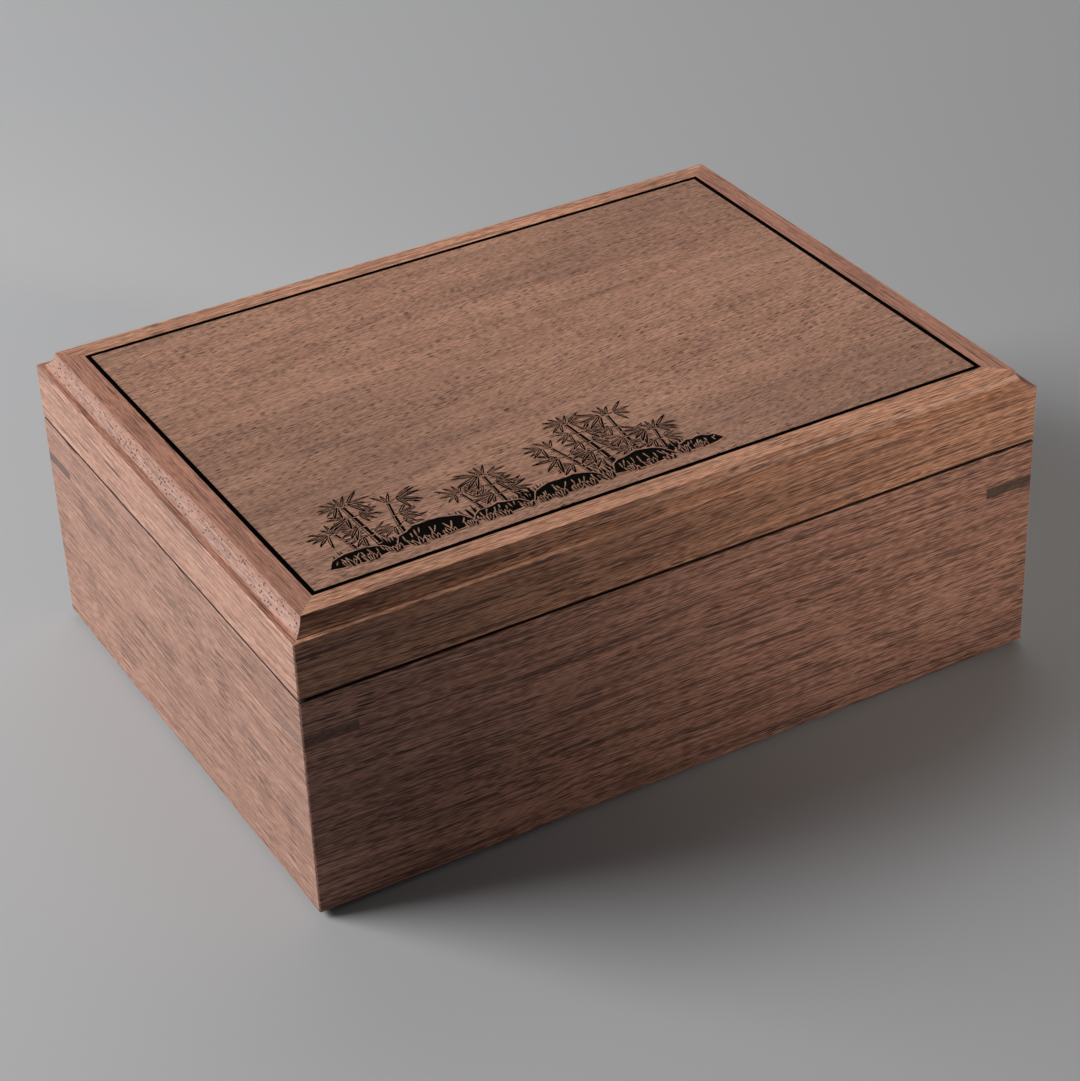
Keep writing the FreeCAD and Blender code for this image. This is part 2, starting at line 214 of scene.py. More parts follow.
# The wood's figure in millimetres, along and across the grain
SWAY_CELL = (150.0, 46.0, 46.0)
RIPPLE_CELL, RIPPLE = (20.0, 9.0, 9.0), 0.5
BAND_WIDTH, BAND_LENGTH = 9.0, 190.0
CLOUD_CELL = (60.0, 14.0, 14.0)
STREAK_WIDTH, STREAK_LENGTH, STREAK_DEPTH = 1.4, 60.0, 24.0
FIBRE_LENGTH, FIBRE_WIDTH = 30.0, 0.3
GRIT_LENGTH, GRIT_WIDTH = 2.6, 0.27
CROWD_CELL = (40.0, 4.0, 4.0)
VESSEL_LENGTH, VESSEL_WIDTH = 48.0, 0.42
DOT_CELL = (1.5, 0.62, 0.62)

SATIN = 0.47
# How far the seam faces are blended to black: painted shade of the gap between lid and base
SEAM_SHADE = 0.8
BLACK = (0.002, 0.0016, 0.0014)


def slender(length, width):
    """The cell of a mark that runs along the grain."""
    return length, width, width


def walnut(name, along, pith, ring, tones, sway=8.0, slope=0.0, figure=1.0, reach=1.0, lines=0.66,
           pore=(9.0, 0.5), speckle=1.5, painted_light_tints=None, dots=0.0, ends=None, seed=0.0):
    """Satin walnut, sawn round a pith line.

    Bands, rings and streaks go by the distance from the pith; fibres, grit, vessel lines and open
    pores run along the board. A lid rail has tints of painted light and shade for its cove and for its
    flat top, standing in for how the light falls on them, and dots where the cove cuts its pores across.
    A key has ends, a tint for where it shows on the case's ends. The faces at the seam take painted
    shade, blended towards black.
    """
    f = Finish(name)
    place = f.place()
    x, y, z = f.parts(f.shift(place, (seed, seed * 0.7, seed * 0.3)))
    board = f.vector(x, y - x * slope, z) if along == "X" else f.vector(y, x, z)
    for cell, amount in ((SWAY_CELL, sway), (RIPPLE_CELL, RIPPLE)):
        drift = f.noise(f.cells(board, cell), 1.0).other("Color")
        board = f.node("VectorMath", {"operation": "MULTIPLY_ADD"},
                       {0: drift, 1: (0.0, amount, amount), 2: board})
    run, side, depth = f.parts(board)
    off_pith = f.vector(0.0, side - pith[0], depth - pith[1])
    radius = f.node("VectorMath", {"operation": "LENGTH"}, {0: off_pith}, "Value")
    bands = f.noise(f.vector(radius / BAND_WIDTH, run / BAND_LENGTH, seed), 2.0)
    clouds = f.noise(f.cells(board, CLOUD_CELL), 2.0)
    streak = f.vector(radius / STREAK_WIDTH, run / STREAK_LENGTH, side / STREAK_DEPTH)
    streaks = f.noise(streak, 2.0, 0.6)
    fibre = f.noise(f.cells(board, slender(FIBRE_LENGTH * reach, FIBRE_WIDTH)), 1.0)
    grit = f.noise(f.cells(board, slender(GRIT_LENGTH * reach, GRIT_WIDTH)), 0.0)
    crowd = 0.7 + f.ease(f.noise(f.cells(board, CROWD_CELL), 1.0), 0.32, 0.66) * 0.3
    vessel = f.noise(f.cells(board, slender(VESSEL_LENGTH * reach, VESSEL_WIDTH)), 0.0)
    vessel = f.ease(vessel, 0.55, 0.63) * crowd
    turn = radius / ring + bands * 1.4
    late = f.node("Math", {"operation": "FRACT"}, {0: turn}) ** 6.0 * f.ease(clouds, 0.35, 0.6)
    hole, chance = f.spots(board, slender(*pore), 0.26, 0.1)
    pores = hole * f.ease(chance, 0.1, 0.9) * crowd
    if painted_light_tints:
        cove = f.hollow(place)
        dot, chance = f.spots(board, DOT_CELL, 0.26, 0.08)
        pores = pores * (1 - cove * dots) + dot * f.ease(chance, 0.3, 0.7) * cove * dots
        vessel = vessel * (1 - cove * dots * 0.8)
    dark, middle, light, grey, deep = tones
    tone = (0.5 + (clouds - 0.5) * (0.5 * figure) - (streaks - 0.5) * 0.3
            + (fibre - 0.5) * 1.3 + (grit - 0.5) * speckle)
    wood = f.ramp(tone, (0.1, 0.5, 0.9), (dark, middle, light))
    shaded = f.ease(bands, 0.42, 0.72) * 0.2 + f.ease(streaks, 0.54, 0.74) * 0.14 + late * 0.16
    greyed = f.node("Clamp", sockets={0: shaded * figure + vessel * lines, 2: 0.95})
    wood = f.blend(pores, f.blend(greyed, wood, grey), deep)
    if painted_light_tints:
        # Painted light and shade: the cove and the flat top and ledge are tinted for how the light falls on
        # them
        painted_flat_mask = f.ease(f.parts(place)[2], LEDGE - 0.1, LEDGE) * (1 - cove)
        wood = f.blend(painted_flat_mask, f.blend(cove, wood, painted_light_tints[0], "MULTIPLY"), painted_light_tints[1], "MULTIPLY")
    if ends:
        across = f.node("Math", {"operation": "ABSOLUTE"}, {0: f.parts(place)[0]})
        wood = f.blend(f.ease(across, END_FACE - 0.4, END_FACE - 0.1), wood, ends, "MULTIPLY")
    # Painted shade: the faces at the seam blend towards black, standing in for the shadow in the gap
    wood = f.blend(f.painted_seam_shade(place) * SEAM_SHADE, wood, BLACK)
    relief = fibre * 0.1 - pores
    gloss = SATIN + pores * 0.2 + (fibre - 0.5) * 0.16
    return f.surface(wood, gloss, f.bump(relief, 0.22, 0.08), Specular_IOR_Level=0.2)


def key_wood(name, tones, seed, ends=None):
    """Walnut of a key let across a corner."""
    return walnut(name, "X", (0.0, -90.0), 2.4, tones, figure=0.6, reach=0.6, lines=0.5,
                  pore=(6.6, 0.4), ends=ends, seed=seed)


def black_line(name, middle):
    """Dyed wood, near black, filled and rubbed down."""
    f = Finish(name)
    grain = f.noise(f.cells(f.place(), (0.9, 0.9, 0.5)), 2.0)
    colour = f.ramp(grain, (0.3, 0.7), [tuple(c * share for c in middle) for share in (0.6, 1.5)])
    rough = 0.55 + (grain - 0.5) * 0.25
    return f.surface(colour, rough, f.bump(grain, 0.2, 0.04), Specular_IOR_Level=0.0)


def burnt_mark(name, tones):
    """Charred wood of the engraved ornament."""
    f = Finish(name)
    char = f.noise(f.cells(f.place(), (1.4, 0.35, 0.35)), 3.0, 0.65)
    colour = f.ramp(char, (0.3, 0.62, 0.8), tones)
    rough = 0.78 + (char - 0.5) * 0.2
    return f.surface(colour, rough, f.bump(char, 0.5, 0.06), Specular_IOR_Level=0.02)


def suede(name, tones):
    """Short nap, brushed in soft patches."""
    f = Finish(name)
    place = f.place()
    brushed = f.noise(f.cells(place, (26.0, 20.0, 24.0)), 2.0)
    nap = f.noise(f.cells(place, (0.45, 0.45, 0.45)), 2.0, 0.7)
    tuft = f.noise(f.cells(place, (1.6, 1.1, 1.3)), 2.0, 0.6)
    tone = 0.5 + (brushed - 0.5) * 0.5 + (nap - 0.5) * 0.7 + (tuft - 0.5) * 0.45
    colour = f.ramp(tone, (0.2, 0.5, 0.8), tones)
    relief = nap * 0.6 + tuft * 0.6
    return f.surface(colour, 0.86 + (nap - 0.5) * 0.16, f.bump(relief, 0.5, 0.14),
                     Sheen_Weight=0.35, Sheen_Roughness=0.4)


def felt(name, tones):
    """Pressed wool with stray fibres."""
    f = Finish(name)
    place = f.place()
    matted = f.noise(f.cells(place, (1.3, 1.3, 1.3)), 3.0, 0.65)
    strand = f.noise(f.cells(f.shift(place, (9.0, 4.0, 2.0)), (3.0, 0.25, 0.25)), 1.0)
    cross = f.noise(f.cells(f.shift(place, (3.0, 8.0, 5.0)), (0.25, 3.0, 0.25)), 1.0)
    tone = 0.5 + (matted - 0.5) * 0.9 + (strand - 0.5) * 0.5 + (cross - 0.5) * 0.5
    colour = f.ramp(tone, (0.25, 0.5, 0.78), tones)
    return f.surface(colour, 0.93 + (matted - 0.5) * 0.1, f.bump(matted + strand * 0.5, 0.6, 0.2),
                     Sheen_Weight=0.2, Sheen_Roughness=0.5)


def brass(name, tones, brushed):
    """Rolled brass, finely brushed, a little dulled in patches."""
    f = Finish(name)
    place = f.place()
    lines = f.noise(f.cells(place, brushed), 2.0, 0.6)
    dulled = f.noise(f.cells(place, (5.0, 5.0, 5.0)), 3.0)
    tone = 0.5 + (dulled - 0.5) * 0.45 + (lines - 0.5) * 0.35
    colour = f.ramp(tone, (0.25, 0.55, 0.85), tones)
    rough = 0.24 + (lines - 0.5) * 0.2 + (dulled - 0.5) * 0.1
    return f.surface(colour, rough, f.bump(lines, 0.12, 0.03), Metallic=1.0)


def nickel(name, tones):
    """Plated magnets, lightly scuffed."""
    f = Finish(name)
    speck = f.noise(f.cells(f.place(), (0.5, 0.5, 0.5)), 2.0)
    colour = f.ramp(speck, (0.3, 0.7), tones)
    return f.surface(colour, 0.3 + (speck - 0.5) * 0.1, f.bump(speck, 0.04, 0.01), Metallic=1.0)


def plywood(name, ply, tones):
    """Rotary-cut birch plies, lighter and darker in turn on the edges."""
    f = Finish(name)
    place = f.place()
    figure = f.noise(f.cells(place, (60.0, 7.0, 7.0)), 3.0, 0.6)
    fibre = f.noise(f.cells(place, (5.0, 0.35, 0.35)), 1.0)
    turn = f.node("Math", {"operation": "PINGPONG"}, {0: f.parts(place)[2], 1: ply}) / ply
    layer = f.ease(turn, 0.4, 0.6)
    tone = 0.5 + (figure - 0.5) * 0.9 + (fibre - 0.5) * 0.4 - layer * 0.12
    colour = f.ramp(tone, (0.2, 0.5, 0.85), tones)
    return f.surface(colour, 0.55 + (fibre - 0.5) * 0.2, f.bump(fibre, 0.25, 0.05))


def card(name, tones):
    """Grey-brown pulp board."""
    f = Finish(name)
    pulp = f.noise(f.cells(f.place(), (1.1, 1.1, 1.1)), 4.0, 0.7)
    colour = f.ramp(pulp, (0.25, 0.75), tones)
    return f.surface(colour, 0.85 + (pulp - 0.5) * 0.15, f.bump(pulp, 0.3, 0.06))


# Each walnut: dark, middle and light wood, grey of the bands and vessels, deep brown of the pores
WALNUT_LONG = ((0.178, 0.081, 0.054), (0.345, 0.167, 0.118), (0.46, 0.24, 0.178),
               (0.064, 0.034, 0.028), (0.035, 0.018, 0.015))
WALNUT_RAIL = ((0.198, 0.084, 0.048), (0.37, 0.176, 0.108), (0.49, 0.258, 0.168),
               (0.074, 0.037, 0.029), (0.035, 0.018, 0.015))
WALNUT_SHORT = ((0.218, 0.112, 0.078), (0.388, 0.214, 0.156), (0.52, 0.304, 0.23),
                (0.15, 0.088, 0.072), (0.05, 0.027, 0.021))
WALNUT_END = ((0.275, 0.14, 0.097), (0.485, 0.267, 0.194), (0.645, 0.377, 0.287),
              (0.15, 0.088, 0.072), (0.04, 0.021, 0.016))
WALNUT_TOP = ((0.174, 0.084, 0.052), (0.332, 0.167, 0.107), (0.442, 0.242, 0.163),
              (0.084, 0.047, 0.036), (0.035, 0.018, 0.013))
KEY_TONES = ((0.095, 0.048, 0.035), (0.14, 0.071, 0.052), (0.18, 0.094, 0.069),
             (0.08, 0.043, 0.033), (0.03, 0.016, 0.012))
DARK_KEY_TONES = ((0.055, 0.032, 0.025), (0.082, 0.048, 0.037), (0.11, 0.065, 0.05),
                  (0.05, 0.03, 0.024), (0.02, 0.012, 0.01))
CHAR_TONES = ((0.0014, 0.0012, 0.001), (0.003, 0.0026, 0.0022), (0.007, 0.0055, 0.0045))
BRASS_TONES = ((0.56, 0.37, 0.13), (0.79, 0.56, 0.24), (0.88, 0.68, 0.34))
SCREW_TONES = ((0.36, 0.22, 0.07), (0.52, 0.34, 0.12), (0.62, 0.43, 0.18))
SUEDE_TONES = ((0.42, 0.35, 0.26), (0.58, 0.50, 0.385), (0.69, 0.61, 0.49))
FELT_TONES = ((0.012, 0.010, 0.009), (0.026, 0.021, 0.018), (0.05, 0.041, 0.035))
BIRCH_TONES = ((0.40, 0.27, 0.155), (0.56, 0.41, 0.255), (0.66, 0.51, 0.34))
NICKEL_TONES = ((0.36, 0.35, 0.33), (0.43, 0.42, 0.4))
CARD_TONES = ((0.16, 0.13, 0.1), (0.27, 0.22, 0.17))

long_walnut = walnut("walnut_long_boards", "X", (-25.0, -150.0), 4.2, WALNUT_LONG)
# Painted light on the front and back lid rails: flat tops a quarter lighter, coves a little lighter
rail_walnut = walnut("walnut_lid_rails", "X", (-30.0, -120.0), 3.8, WALNUT_RAIL,
                     painted_light_tints=((1.05, 1.03, 1.0), (1.25, 1.25, 1.2)), seed=29.0)
short_walnut = walnut("walnut_short_boards", "Y", (-35.0, -160.0), 3.4, WALNUT_SHORT,
                      figure=0.8, lines=0.56, pore=(18.0, 0.4), speckle=1.0, seed=43.0)
# Painted shade on the lid's end rails: coves and flat tops darker
end_walnut = walnut("walnut_lid_ends", "Y", (-20.0, -130.0), 3.4, WALNUT_END, figure=0.6, lines=0.56,
                    pore=(18.0, 0.4), speckle=1.0,
                    painted_light_tints=((0.73, 0.74, 0.77), (0.74, 0.61, 0.55)), dots=0.9, seed=61.0)
top_walnut = walnut("walnut_lid_panel", "X", (6.0, 38.0), 5.2, WALNUT_TOP,
                    sway=16.0, slope=0.07, figure=1.3, reach=0.7, lines=0.34,
                    pore=(2.8, 0.52), speckle=1.6, seed=11.0)
key_walnut = key_wood("walnut_keys", KEY_TONES, 77.0, ends=(2.0, 2.3, 2.5))
grey_key_walnut = key_wood("grey_walnut_key", KEY_TONES, 91.0, ends=(1.25, 1.52, 1.76))
dark_key_walnut = key_wood("dark_walnut_keys", DARK_KEY_TONES, 83.0)
line_black = black_line("inlaid_black_line", BLACK)
mark_black = burnt_mark("engraved_black", CHAR_TONES)
lining_suede = suede("cream_suede", SUEDE_TONES)
under_felt = felt("base_felt", FELT_TONES)
hinge_brass = brass("hinge_brass", BRASS_TONES, (6.0, 0.12, 6.0))
screw_brass = brass("screw_brass", SCREW_TONES, (0.5, 0.5, 0.5))
magnet_nickel = nickel("magnet_nickel", NICKEL_TONES)
bottom_birch = plywood("bottom_plywood", 1.25, BIRCH_TONES)
bed_birch = plywood("bed_plywood", 1.0, BIRCH_TONES)
pad_card = card("pad_card", CARD_TONES)


def finish_of(node):
    """The finish that a CAD node shows."""
    if node.endswith("_key"):
        keys = {"front_left_key": key_walnut, "back_left_key": grey_key_walnut}
        return keys.get(node, dark_key_walnut)
    if node.endswith("_line"):
        return line_black
    if node.endswith(("_wall", "_rail")):
        across = "left" in node or "right" in node
        if node.startswith("lid"):
            return end_walnut if across else rail_walnut
        return short_walnut if across else long_walnut
    if node == "lid_panel":
        return top_walnut
    if node.endswith("_screws"):
        return screw_brass
    if node.endswith("_magnets"):
        return magnet_nickel
    if "hinge" in node or "stay" in node:
        return hinge_brass
    fixed = {"bottom_panel": bottom_birch, "lid_pad_board": pad_card,
             "bed_board": bed_birch, "bed_bearers": bed_birch}
    return fixed.get(node, lining_suede)


for name, node in nodes.items():
    node.data.materials.clear()
    node.data.materials.append(finish_of(name))


# Soft pieces

NEAR = 0.1 * MM
SUEDE_WRAP = 1.1 * MM
SUEDE_CREASE = math.radians(35)
FELT_CORNER = 2.0 * MM
COVER_INSET = 0.5 * MM
SWELL_STEPS = 20


def mesh_of(name, bm):
    """A mesh from a shaped bmesh, which it uses up."""
    mesh = bpy.data.meshes.new(name)
    bm.to_mesh(mesh)
    bm.free()
    return mesh


def set_down(name, data):
    """A new object in the scene."""
    made = bpy.data.objects.new(name, data)
    bpy.context.scene.collection.objects.link(made)
    return made


def as_piece(name, bm, finish, body, smooth=True):
    """Turns a shaped mesh into a finished piece on its body."""
    mesh = mesh_of(name, bm)
    piece = set_down(name, mesh)
    mesh.materials.append(finish)
    if smooth:
        mesh.shade_smooth()
    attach(piece, body)
    return piece


def from_node(node):
    """A merged copy of a CAD node's mesh."""
    bm = bmesh.new()
    bm.from_mesh(nodes[node].data)
    bmesh.ops.remove_doubles(bm, verts=bm.verts, dist=0.01 * MM)
    return bm


def swell(piece, held, pressure, cap):
    """Lets a cover take up its stuffing: cloth under pressure, held at its back.

    Each point moves by cap at most.
    """
    rest = [v.co.copy() for v in piece.data.vertices]
    group = piece.vertex_groups.new(name="held")
    group.add([i for i, place in enumerate(rest) if held(place)], 1.0, "REPLACE")
    cloth = piece.modifiers.new("stuffing", "CLOTH")
    cloth.settings.use_pressure = True
    cloth.settings.uniform_pressure_force = pressure
    cloth.settings.effector_weights.gravity = 0.0
    cloth.settings.vertex_group_mass = "held"
    scene = bpy.context.scene
    for tick in range(1, SWELL_STEPS + 1):
        scene.frame_set(tick)
    shaped = piece.evaluated_get(bpy.context.evaluated_depsgraph_get())
    moved = [v.co.copy() for v in shaped.data.vertices]
    piece.modifiers.remove(cloth)
    piece.vertex_groups.clear()
    scene.frame_set(1)
    for vertex, start, end in zip(piece.data.vertices, rest, moved):
        step = end - start
        if step.length > cap:
            step *= cap / step.length
        vertex.co = start + step


def stuffed(name, node, body, voxel, held, pressure, cap):
    """A padded piece in the place of its CAD node."""
    bm = from_node(node)
    low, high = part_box(node)
    middle = (low + high) / 2
    scale = Vector(1 - 2 * COVER_INSET / size for size in high - low)
    bmesh.ops.scale(bm, vec=scale, space=Matrix.Translation(-middle), verts=bm.verts)
    piece = as_piece(name, bm, lining_suede, body)
    remesh = piece.modifiers.new("even_weave", "REMESH")
    remesh.mode = "VOXEL"
    remesh.voxel_size = voxel
    shaped = piece.evaluated_get(bpy.context.evaluated_depsgraph_get())
    even = bpy.data.meshes.new_from_object(shaped)
    piece.modifiers.clear()
    piece.data = even
    swell(piece, held, pressure, cap)
    bm = bmesh.new()
    bm.from_mesh(piece.data)
    for _ in range(2):
        bmesh.ops.smooth_vert(bm, verts=bm.verts, factor=0.5,
                              use_axis_x=True, use_axis_y=True, use_axis_z=True)
    bm.to_mesh(piece.data)
    bm.free()
    piece.data.materials.clear()
    piece.data.materials.append(lining_suede)
    piece.data.shade_smooth()
    rounder = piece.modifiers.new("soft_round", "SUBSURF")
    rounder.levels = rounder.render_levels = 1
    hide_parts(node)


bed_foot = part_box("pen_bed")[0].z
pad_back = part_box("lid_pad")[1].z
stuffed("pen_bed_cover", "pen_bed", "base", voxel=1.6 * MM,
        held=lambda place: place.z < bed_foot + 2.5 * MM, pressure=1.5, cap=0.6 * MM)
stuffed("lid_pad_cover", "lid_pad", "lid", voxel=2.2 * MM,
        held=lambda place: place.z > pad_back - 1.2 * MM, pressure=3.0, cap=1.6 * MM)


def block(low, high):
    """A plain block between two corners."""
    bm = bmesh.new()
    bmesh.ops.create_cube(bm, size=1.0)
    bmesh.ops.scale(bm, vec=high - low, verts=bm.verts)
    bmesh.ops.translate(bm, vec=(low + high) / 2, verts=bm.verts)
    return bm


def round_over(bm, edges, radius, segments):
    bmesh.ops.bevel(bm, geom=edges, offset=radius, offset_type="OFFSET", affect="EDGES",
                    segments=segments, profile=0.5, material=-1)


def covered_liner(side):
    """A thin board with suede wrapped over its top edge."""
    node = side + "_liner"
    low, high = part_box(node)
    bm = block(low, high)
    top = [e for e in bm.edges if all(v.co.z > high.z - NEAR for v in e.verts)]
    round_over(bm, top, SUEDE_WRAP, segments=5)
    piece = as_piece(node + "_cover", bm, lining_suede, "base")
    piece.data.set_sharp_from_angle(angle=SUEDE_CREASE)
    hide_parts(node)


for side in SIDES:
    covered_liner(side)


def felt_sheet():
    """The felt under the case, with rounded corners."""
    low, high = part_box("base_felt")
    bm = block(low, high)
    upright = [e for e in bm.edges if abs(e.verts[0].co.z - e.verts[1].co.z) > NEAR]
    round_over(bm, upright, FELT_CORNER, segments=4)
    piece = as_piece("base_felt_sheet", bm, under_felt, "base", smooth=False)
    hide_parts("base_felt")


felt_sheet()


# Engraved ornament: a bank of bamboo, stones and grass, cut thin into the lid

class Engraving:
    """Strokes drawn on the lid panel in millimetres, black or bare, each lying over those it crosses."""

    SINK = 0.03
    STEP = 0.002
    CORNERS = 12
    BARE_EDGE = 0.4
    LEAF_ROOT = 0.45
    GRASS_ROOT = 0.15
    TWIG = 0.3
    VEIN = 0.2
    UP = math.pi / 2

    def __init__(self, seed):
        self.draw = random.Random(seed)
        self.laid = []
        self.meshes = {True: bmesh.new(), False: bmesh.new()}

    def stroke(self, outline, black=True):
        """A thin flat shape: a many-sided face moved onto its outline and drawn up."""
        bm = bmesh.new()
        corners = bmesh.ops.create_circle(bm, cap_ends=True, segments=len(outline), radius=1.0)["verts"]
        for corner, (x, y) in zip(corners, outline):
            corner.co = (x, y, -self.SINK)
        xs, ys = zip(*outline)
        low_x, high_x, low_y, high_y = min(xs), max(xs), min(ys), max(ys)
        crossed = [level for a, b, c, d, level in self.laid
                   if a < high_x and b > low_x and c < high_y and d > low_y]
        level = max(crossed, default=0) + 1
        self.laid.append((low_x, high_x, low_y, high_y, level))
        raised = bmesh.ops.extrude_face_region(bm, geom=bm.faces[:])["geom"]
        top = [part for part in raised if isinstance(part, bmesh.types.BMVert)]
        bmesh.ops.translate(bm, vec=(0.0, 0.0, self.SINK + level * self.STEP), verts=top)
        bmesh.ops.recalc_face_normals(bm, faces=bm.faces)
        shape = mesh_of("stroke", bm)
        self.meshes[black].from_mesh(shape)
        bpy.data.meshes.remove(shape)

    @staticmethod
    def turned(x, y, angle, points):
        """Points given along and across a stroke, laid from its root at its angle."""
        c, s = math.cos(angle), math.sin(angle)
        return [(x + u * c - v * s, y + u * s + v * c) for u, v in points]

    def blade(self, x, y, length, width, angle, bend=0.0, root=0.3, black=True):
        """A pointed stroke from its root, bending as it goes."""
        points = []
        for i in range(self.CORNERS):
            turn = FULL_TURN * i / self.CORNERS
            along = (1 - math.cos(turn)) / 2
            half = 0.0
            if i not in (0, self.CORNERS // 2):
                half = math.copysign(0.8 * width * along ** root * (1 - along) ** 0.6, math.sin(turn))
            points.append((along * length, half + bend * along * along * length))
        self.stroke(self.turned(x, y, angle, points), black)

    def bar(self, x, y, length, width, angle, black=True):
        """A plain stroke with square ends, from the middle of its root."""
        half = width / 2
        points = ((0.0, -half), (length, -half), (length, half), (0.0, half))
        self.stroke(self.turned(x, y, angle, points), black)

    def leaf(self, x, y, length, width, angle, bend):
        """A leaf parted by a bare edge from those behind it, with a bare vein."""
        c, s = math.cos(angle), math.sin(angle)
        self.blade(x - 0.2 * c, y - 0.2 * s, length + 0.5, width + self.BARE_EDGE, angle, bend,
                   self.LEAF_ROOT, black=False)
        self.blade(x, y, length, width, angle, bend, self.LEAF_ROOT)
        start = 0.15 * length
        self.blade(x + start * c, y + start * s, length * 0.6, self.VEIN, angle, bend * 0.8, 0.2,
                   black=False)

    def spray(self, x, y, way, count, size):
        """A twig to one side with a fan of drooping leaves."""
        rise = self.draw.uniform(0.1, 0.7)
        heading = rise if way > 0 else math.pi - rise
        reach = size * self.draw.uniform(0.2, 0.45)
        self.bar(x, y, reach, self.TWIG, heading)
        x, y = x + reach * math.cos(heading), y + reach * math.sin(heading)
        order = list(range(count))
        self.draw.shuffle(order)
        for i in order:
            droop = 0.75 - 1.9 * i / (count - 1) + self.draw.uniform(-0.14, 0.14)
            self.leaf(x, y, size * self.draw.uniform(0.8, 1.2), size * self.draw.uniform(0.2, 0.27),
                      droop if way > 0 else math.pi - droop, -way * self.draw.uniform(0.02, 0.18))

    def cane(self, x, y, height, width, lean):
        """A jointed cane with a bare lit side, and leaf sprays from its joints."""
        climb, joints = 0.0, []
        while climb < height:
            share = climb / height
            length = (3.6 + 2.6 * share) * self.draw.uniform(0.9, 1.1)
            angle = self.UP - lean * (0.6 + 0.8 * share)
            across = width * (1 - 0.45 * share)
            c, s = math.cos(angle), math.sin(angle)
            self.bar(x, y, length, across + 0.5, angle, black=False)
            self.bar(x, y, length - 0.35, across, angle)
            lit = across * 0.22
            self.bar(x - s * lit + 0.3 * c, y + c * lit + 0.3 * s, length - 1.0, across * 0.2, angle,
                     black=False)
            x, y = x + length * c, y + length * s
            climb += length
            joints.append((x, y))
        for x, y in joints[1:]:
            for way in (-1, 1):
                if self.draw.random() < 0.9:
                    self.spray(x, y, way, self.draw.choice((4, 5, 5, 6)), self.draw.uniform(4.6, 6.4))
        for turn in (0.5, -0.45, 0.05):
            self.leaf(x, y, self.draw.uniform(4.0, 5.5), 1.15, self.UP + turn, 0.1 * turn)

    def tuft(self, x, y, blades, height, parted=False):
        """Grass fanning from one root, with bare edges where it stands before something black."""
        for i in range(blades):
            lean = (i / (blades - 1) - 0.5) * 1.7 + self.draw.uniform(-0.15, 0.15)
            tall = height * self.draw.uniform(0.65, 1.0) * (1 - 0.25 * abs(lean))
            wide = self.draw.uniform(0.5, 0.8)
            spot = (x + lean * 1.1, y + self.draw.uniform(-0.35, 0.35))
            angle, bend = self.UP - lean * 0.7, 0.3 * lean
            if parted:
                self.blade(*spot, tall + self.BARE_EDGE, wide + self.BARE_EDGE, angle, bend,
                           self.GRASS_ROOT, black=False)
            self.blade(*spot, tall, wide, angle, bend, self.GRASS_ROOT)

    def stone(self, x, y, length, height, cracks):
        """A boulder with a rough back and bare tool strokes on its lit side."""
        back = []
        for i in range(10):
            along = i / 9
            swell = (4 * along * (1 - along)) ** 0.45 * self.draw.uniform(0.8, 1.0)
            back.append((x + along * length, y + height * swell))
        foot = [(x + 0.8 * length, y - 0.9), (x + 0.5 * length, y - 1.3), (x + 0.2 * length, y - 0.8)]
        mid_x, mid_y = x + length / 2, y + height / 3
        wider, taller = 1 + 0.8 / length, 1 + 0.9 / height
        edge = [(mid_x + (u - mid_x) * wider, mid_y + (v - mid_y) * taller) for u, v in back + foot]
        self.stroke(edge, black=False)
        self.stroke(back + foot)
        for i in range(cracks):
            along = 0.1 + 0.8 * (i + self.draw.random()) / cracks
            top = height * (4 * along * (1 - along)) ** 0.45
            start = top * self.draw.uniform(0.5, 0.78)
            reach = top * self.draw.uniform(0.35, 0.6)
            width, angle = self.draw.uniform(0.3, 0.5), self.draw.uniform(-2.2, -1.3)
            bend = self.draw.uniform(-0.2, 0.2)
            self.blade(x + along * length, y + start, reach, width, angle, bend, black=False)

    def cut(self, surface):
        """Both sets of strokes as pieces on the lid."""
        looks = {True: ("lid_engraving", mark_black, "black_line"),
                 False: ("lid_engraving_bare", top_walnut, "walnut_panel")}
        for black, (name, finish, slot) in looks.items():
            bm = self.meshes[black]
            bmesh.ops.scale(bm, vec=(MM, MM, MM), verts=bm.verts)
            bmesh.ops.translate(bm, vec=(0.0, 0.0, surface), verts=bm.verts)
            as_piece(name, bm, finish, "lid", smooth=False)


# Canes: foot, height, width and lean. Stones: left end, length and height. All in millimetres
CANES = ((-79.0, 13.0, 1.4, -0.2), (-73.5, 22.0, 1.9, -0.03), (-67.0, 16.0, 1.5, 0.18),
         (-45.0, 12.0, 1.3, -0.16), (-39.0, 16.0, 1.5, 0.06),
         (-14.0, 17.0, 1.5, -0.18), (-7.0, 25.0, 2.0, -0.05), (0.5, 20.0, 1.7, 0.1), (7.0, 12.0, 1.3, 0.22))
STONES = ((-89.0, 17.0, 5.0), (-71.0, 22.0, 7.0), (-50.0, 16.0, 4.6),
          (-33.0, 21.0, 6.2), (-10.0, 18.0, 7.0), (9.0, 13.0, 4.2))
CRACKS = 9
GROUND = -63.0
STONE_FOOT = GROUND - 0.6
FRONT_GRASS = GROUND - 2.2


def bamboo_bank():
    """Canes with grass at their feet, stones before them, and low grass before the stones."""
    art = Engraving(seed=24)
    draw = art.draw
    for x, height, width, lean in CANES:
        art.cane(x, GROUND, height, width, lean)
    for i in range(27):
        x = -84 + i * 3.9 + draw.uniform(-0.9, 0.9)
        art.tuft(x, GROUND, draw.choice((5, 6, 7)), draw.uniform(4.0, 8.0))
    for x, length, height in STONES:
        art.stone(x, STONE_FOOT, length, height, CRACKS)
    for i in range(20):
        x, y = -82 + i * 5.1 + draw.uniform(-1.5, 1.5), FRONT_GRASS + draw.uniform(-0.3, 0.3)
        art.tuft(x, y, draw.choice((4, 5, 6)), draw.uniform(2.4, 4.4), parted=True)
    art.cut(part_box("lid_panel")[1].z)


bamboo_bank()


# Floor, light and camera

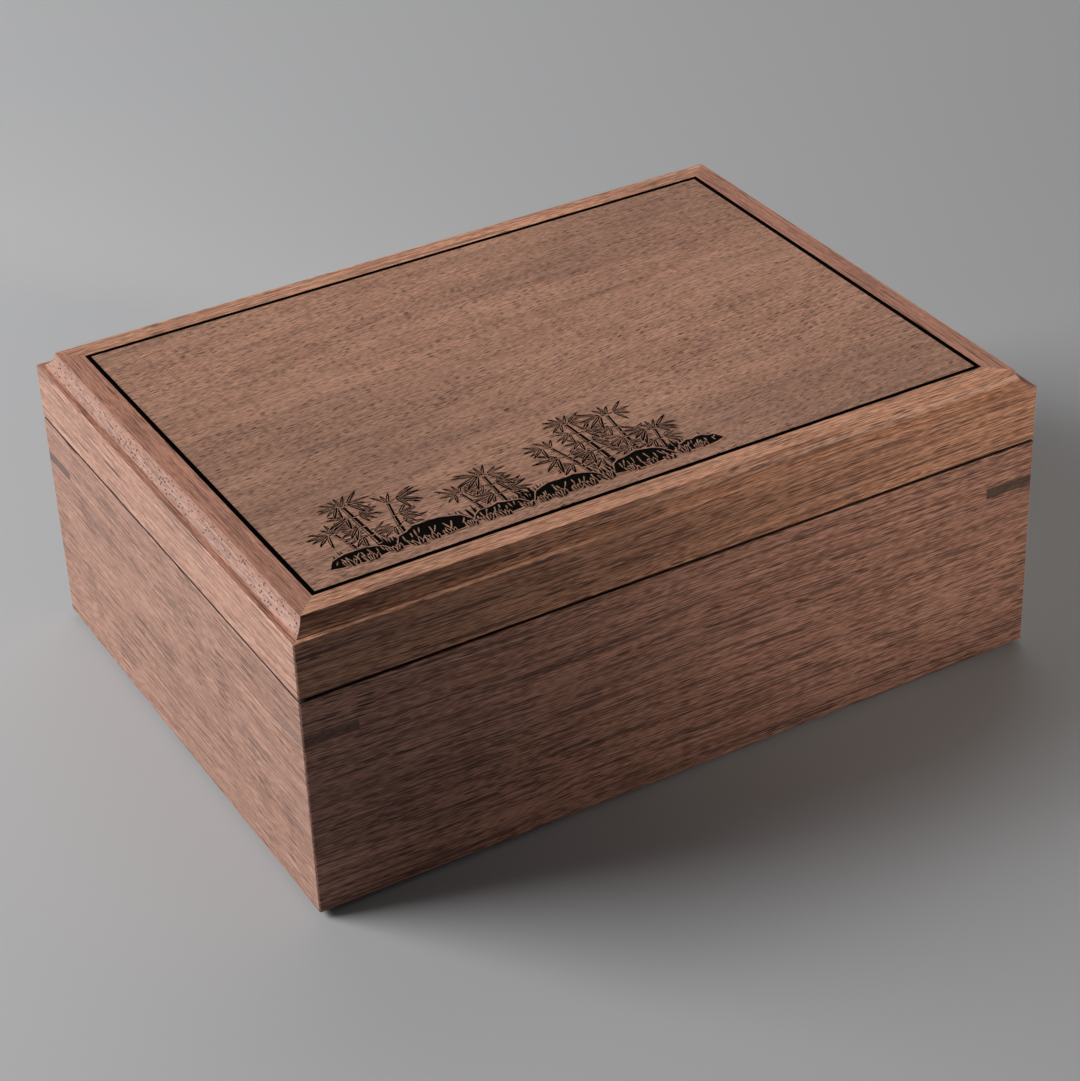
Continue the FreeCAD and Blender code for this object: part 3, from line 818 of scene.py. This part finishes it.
FLOOR_TONES = ((0.375, 0.38, 0.39), (0.41, 0.413, 0.42))
FLOOR_REACH = 6.0
CASE_MIDDLE = (0.0, 0.0, 0.04)
CAMERA_PLACE = (-0.32044, -0.58879, 0.46025)
CAMERA_TURN = (57.1795, 2.1176, -30.1244)
CAMERA_LENS, CAMERA_SENSOR = 96.081, 36.0
SKY, SKY_STRENGTH = (0.97, 0.95, 0.97, 1.0), 0.1


def floor():
    """A plain pale floor, very slightly mottled."""
    bm = bmesh.new()
    bmesh.ops.create_grid(bm, x_segments=4, y_segments=4, size=FLOOR_REACH)
    made = set_down("floor", mesh_of("floor", bm))
    f = Finish("pale_floor")
    mottled = f.noise(f.cells(f.place(), (400.0, 400.0, 400.0)), 1.0)
    made.data.materials.append(f.surface(f.ramp(mottled, (0.2, 0.8), FLOOR_TONES), 0.62))


def softbox(name, place, aim, size, power, colour=(1.0, 1.0, 1.0), spread=180.0):
    """A flat lamp turned towards its aim."""
    lamp = bpy.data.lights.new(name, "AREA")
    lamp.shape = "RECTANGLE"
    lamp.size, lamp.size_y = size
    lamp.energy = power
    lamp.color = colour
    lamp.spread = math.radians(spread)
    made = set_down(name, lamp)
    made.location = place
    made.rotation_euler = (Vector(aim) - Vector(place)).to_track_quat("-Z", "Y").to_euler()
    made.visible_camera = False


def camera():
    lens = bpy.data.cameras.new("camera")
    lens.lens = CAMERA_LENS
    lens.sensor_width = CAMERA_SENSOR
    made = set_down("camera", lens)
    made.location = CAMERA_PLACE
    made.rotation_euler = [math.radians(angle) for angle in CAMERA_TURN]
    bpy.context.scene.camera = made


def sky():
    world = bpy.data.worlds.new("studio")
    world.use_nodes = True
    background = world.node_tree.nodes["Background"].inputs
    background["Color"].default_value = SKY
    background["Strength"].default_value = SKY_STRENGTH
    bpy.context.scene.world = world


floor()
softbox("key_left", (-1.10, 0.64, 0.835), CASE_MIDDLE, size=(0.9, 0.9), power=31.5)
softbox("top_back", (0.57, 0.98, 1.17), CASE_MIDDLE, size=(1.4, 0.9), power=4.3, colour=(1.0, 0.985, 0.96))
softbox("front_right", (0.42, -0.46, 0.22), (0.13, -0.08, 0.115), size=(0.2, 0.2), power=0.124,
        colour=(1.0, 0.93, 0.81), spread=20.0)
camera()
sky()
bpy.context.scene.view_settings.view_transform = "Standard"
